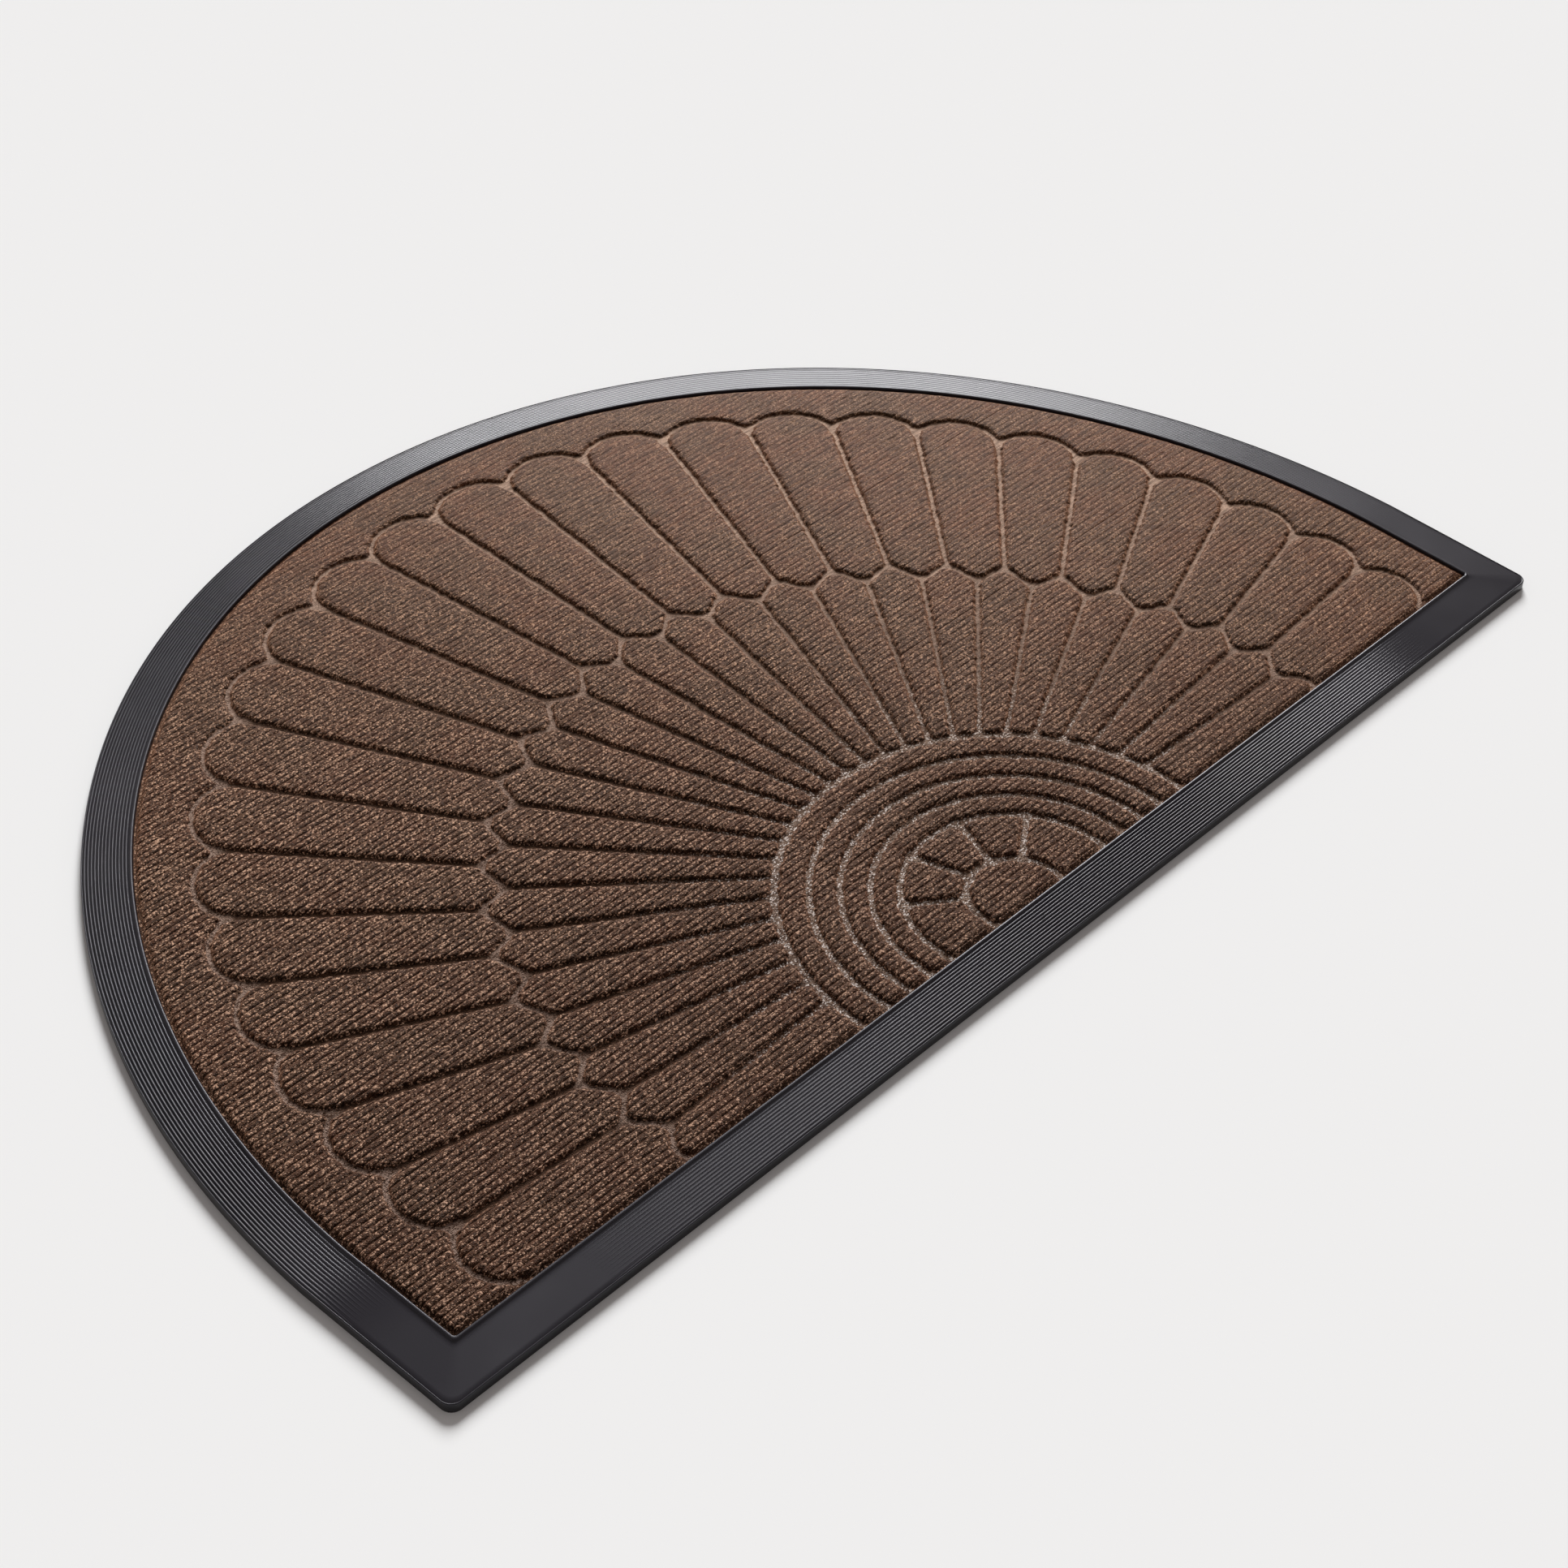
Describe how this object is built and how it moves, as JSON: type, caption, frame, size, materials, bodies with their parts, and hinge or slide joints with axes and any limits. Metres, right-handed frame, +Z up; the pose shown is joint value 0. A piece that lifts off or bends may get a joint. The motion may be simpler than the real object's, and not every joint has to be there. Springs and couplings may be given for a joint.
{
  "type": "half-round doormat",
  "caption": "Half-round entrance mat: a moulded rubber base with a ribbed bevelled border around a carpet with a pressed fan pattern, for wiping shoes.",
  "frame": {"origin": "middle of the mat's box, on the floor plane that the underside rests on", "axes": "+X along the straight edge, +Y from the straight edge towards the arc, +Z up out of the pile"},
  "size_m": [0.9, 0.6, 0.0095],
  "materials": {
    "rubber": "satin moulded rubber with fine ribs",
    "carpet_fabric": "ribbed needle-punched fibre, heather brown"
  },
  "bodies": {
    "root": {"rubber_base": "rubber", "carpet": "carpet_fabric"}
  },
  "joints": []
}
